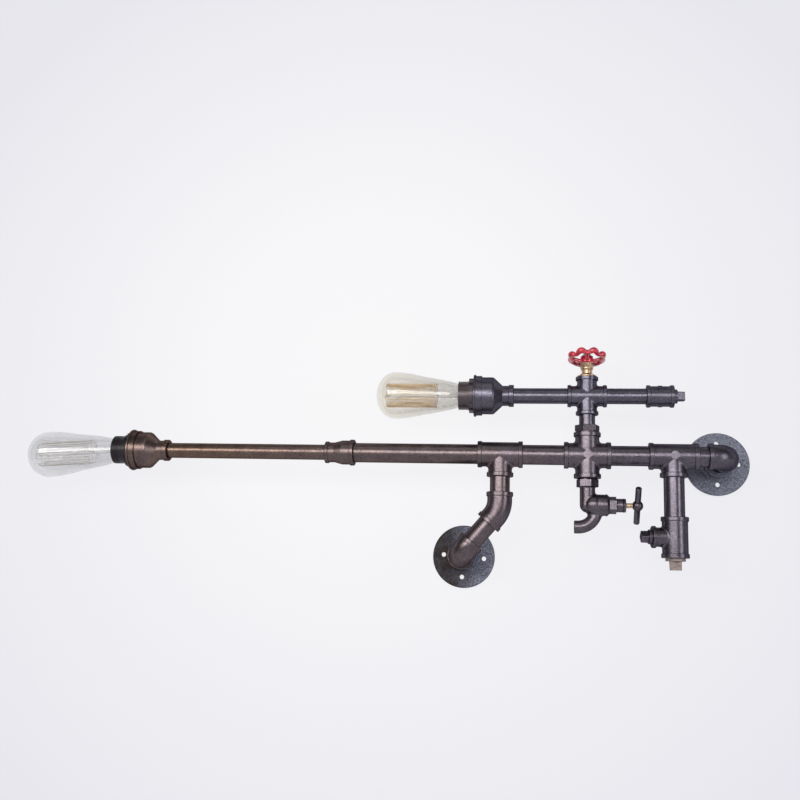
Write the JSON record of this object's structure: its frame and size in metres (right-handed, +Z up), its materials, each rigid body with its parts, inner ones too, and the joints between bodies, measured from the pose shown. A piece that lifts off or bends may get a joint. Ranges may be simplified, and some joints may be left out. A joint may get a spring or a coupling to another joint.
{
  "type": "wall sconce",
  "caption": "Wall sconce screwed together from black gas pipe and fittings, with two bare filament bulbs, a red valve wheel and a small tap, on two round flanges.",
  "frame": {"origin": "centre of the upper (right) flange, on the wall", "axes": "+X along the long pipe towards the flange, away from the bulbs; +Y into the wall; +Z up"},
  "size_m": [1.025, 0.1174, 0.3209],
  "materials": {
    "black_fitting": "satin",
    "black_pipe": "satin",
    "flange_iron": "matte",
    "bare_plug": "matte",
    "holder_plastic": "satin",
    "ceramic": "matte",
    "contact_brass": "satin",
    "valve_brass": "satin",
    "red_enamel": "gloss",
    "nut_steel": "satin",
    "cap_steel": "gloss",
    "bulb_glass": "clear",
    "mount_glass": "gloss",
    "filament": "satin",
    "lead_rubber": "matte"
  },
  "bodies": {
    "pipework": {"bottom_plug": "bare_plug", "centre_contacts": "contact_brass", "coupling": "black_fitting", "drop_pipe": "black_pipe", "drop_tee": "black_fitting", "end_tee": "black_fitting", "flange_nipples": "black_pipe", "front_pipe": "black_pipe", "hex_bushing": "black_fitting", "holder_cores": "ceramic", "holder_rings": "holder_plastic", "holder_sleeves": "holder_plastic", "leads": "lead_rubber", "left_elbow": "black_fitting", "left_flange": "flange_iron", "left_nipple": "black_pipe", "leg_elbow": "black_fitting", "leg_nipple": "black_pipe", "leg_pipe": "black_pipe", "leg_tee": "black_fitting", "lower_bell": "black_fitting", "lower_cross": "black_fitting", "rear_pipe": "black_pipe", "rear_plug": "black_fitting", "reducing_socket": "black_fitting", "right_elbow": "black_fitting", "right_flange": "flange_iron", "right_nipple": "black_pipe", "riser_nipple": "black_pipe", "screw_shells": "contact_brass", "short_nipple": "black_pipe", "side_plug": "black_fitting", "tap_body": "black_fitting", "tap_bonnet": "black_fitting", "tap_gland_nut": "black_fitting", "thick_pipe": "black_pipe", "thin_pipe": "black_pipe", "upper_bell": "black_fitting", "upper_cross": "black_fitting", "valve_bonnet": "valve_brass", "valve_gland_nut": "valve_brass"},
    "valve_disc_body": {"valve_disc": "valve_brass"},
    "valve_wheel": {"valve_spindle": "valve_brass", "handwheel": "red_enamel", "wheel_nut": "nut_steel"},
    "tap_jumper_body": {"tap_jumper": "lead_rubber"},
    "tap_handle": {"tap_spindle": "valve_brass", "tap_hub": "black_fitting", "tap_bar": "black_fitting"},
    "lower_bulb_carrier": {"lower_bulb_tip": "contact_brass"},
    "lower_bulb": {"lower_bulb_cap": "cap_steel", "lower_bulb_glass": "bulb_glass", "lower_bulb_mount": "mount_glass", "lower_bulb_filament": "filament"},
    "upper_bulb_carrier": {"upper_bulb_tip": "contact_brass"},
    "upper_bulb": {"upper_bulb_cap": "cap_steel", "upper_bulb_glass": "bulb_glass", "upper_bulb_mount": "mount_glass", "upper_bulb_filament": "filament"}
  },
  "joints": [
    {"name": "valve_lift", "type": "slide", "parent": "pipework", "child": "valve_disc_body", "axis": [0, 0, 1], "range_m": [0, 0.005]},
    {"name": "valve_turn", "type": "hinge", "parent": "valve_disc_body", "child": "valve_wheel", "pos_m": [-0.1825, -0.0849, 0.125], "axis": [0, 0, 1], "range_deg": [0, 900]},
    {"name": "tap_lift", "type": "slide", "parent": "pipework", "child": "tap_jumper_body", "axis": [1, 0, 0], "range_m": [0, 0.0035]},
    {"name": "tap_turn", "type": "hinge", "parent": "tap_jumper_body", "child": "tap_handle", "pos_m": [-0.125, -0.0849, -0.0662], "axis": [1, 0, 0], "range_deg": [0, 504]},
    {"name": "lower_bulb_unscrew", "type": "slide", "parent": "pipework", "child": "lower_bulb_carrier", "axis": [-1, 0, 0], "range_m": [0, 0.01634]},
    {"name": "lower_bulb_turn", "type": "hinge", "parent": "lower_bulb_carrier", "child": "lower_bulb", "pos_m": [-0.8503, -0.0849, 0], "axis": [-1, 0, 0], "range_deg": [0, 1620]},
    {"name": "upper_bulb_unscrew", "type": "slide", "parent": "pipework", "child": "upper_bulb_carrier", "axis": [-1, 0, 0], "range_m": [0, 0.01634]},
    {"name": "upper_bulb_turn", "type": "hinge", "parent": "upper_bulb_carrier", "child": "upper_bulb", "pos_m": [-0.3568, -0.0849, 0.0811], "axis": [-1, 0, 0], "range_deg": [0, 1620]}
  ],
  "couplings": [
    {"joint": "valve_lift", "follows": "valve_turn", "m_per_rad": 0.00031831},
    {"joint": "tap_lift", "follows": "tap_turn", "m_per_rad": 0.00039789},
    {"joint": "lower_bulb_unscrew", "follows": "lower_bulb_turn", "m_per_rad": 0.00057757},
    {"joint": "upper_bulb_unscrew", "follows": "upper_bulb_turn", "m_per_rad": 0.00057757}
  ]
}
